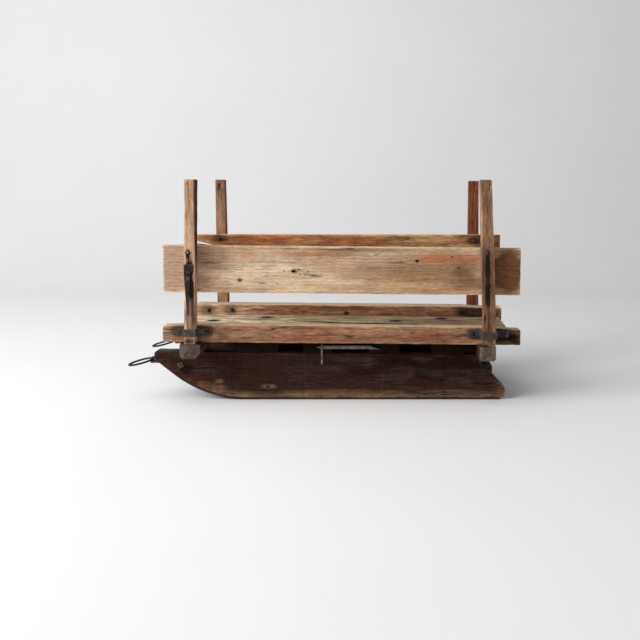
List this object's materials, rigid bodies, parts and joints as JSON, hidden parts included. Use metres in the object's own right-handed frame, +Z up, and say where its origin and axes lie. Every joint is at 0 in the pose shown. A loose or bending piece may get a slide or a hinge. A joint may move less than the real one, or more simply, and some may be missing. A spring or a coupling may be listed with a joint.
{
  "type": "wooden freight sled",
  "caption": "Old hand-drawn freight sled: iron-shod plank runners, hewn bolsters, a railed plank bed and lift-out side racks held by iron straps, with tow rings.",
  "frame": {"origin": "on the floor under the middle of the sled, which stands on its two runners", "axes": "+Z up, -X towards the noses and tow rings, -Y towards the near side, the one in the picture"},
  "size_m": [1.2178, 0.5348, 0.6807],
  "materials": {
    "near_board_wood": "weathered",
    "far_board_wood": "weathered",
    "stake_wood": "weathered",
    "rail_wood": "weathered",
    "bed_wood": "weathered",
    "bolster_wood": "weathered",
    "runner_wood": "weathered",
    "forged_iron": "rusted",
    "shoe_iron": "worn",
    "ring_iron": "worn"
  },
  "bodies": {
    "sled": {"runner_near": "runner_wood", "shoe_near": "shoe_iron", "nose_eye_near": "forged_iron", "tail_staple_near": "forged_iron", "rail_near": "rail_wood", "bed_plank_near": "bed_wood", "runner_far": "runner_wood", "shoe_far": "shoe_iron", "nose_eye_far": "forged_iron", "tail_staple_far": "forged_iron", "rail_far": "rail_wood", "bed_plank_far": "bed_wood", "nose_tie_rod": "forged_iron", "side_bar": "ring_iron", "side_bar_staple": "ring_iron", "bolster_front": "bolster_wood", "bolster_rear": "bolster_wood", "cross_board_1": "bolster_wood", "cross_board_2": "bolster_wood", "cross_board_3": "bolster_wood", "cross_board_4": "bolster_wood", "strap_near_front": "forged_iron", "strap_near_rear": "forged_iron", "strap_far_front": "forged_iron", "strap_far_rear": "forged_iron"},
    "rack_near": {"side_board_near": "near_board_wood", "stake_near_front": "stake_wood", "stake_near_rear": "stake_wood", "stake_hook": "forged_iron"},
    "rack_far": {"side_board_far": "far_board_wood", "stake_far_front": "stake_wood", "stake_far_rear": "stake_wood"},
    "tow_ring_near": {"tow_ring_near": "ring_iron"},
    "tow_ring_far": {"tow_ring_far": "ring_iron"}
  },
  "joints": [
    {"name": "tow_ring_near_swing", "type": "hinge", "parent": "sled", "child": "tow_ring_near", "pos_m": [-0.52091, -0.148, 0.12408], "axis": [0, 1, 0], "range_deg": [0, 100]},
    {"name": "tow_ring_far_swing", "type": "hinge", "parent": "sled", "child": "tow_ring_far", "pos_m": [-0.52091, 0.148, 0.12408], "axis": [0, 1, 0], "range_deg": [0, 100]},
    {"name": "rack_near_lift", "type": "slide", "parent": "sled", "child": "rack_near", "axis": [0.0093, 0, 1], "range_m": [0, 0.044]},
    {"name": "rack_far_lift", "type": "slide", "parent": "sled", "child": "rack_far", "axis": [0.0093, 0, 1], "range_m": [0, 0.044]}
  ]
}
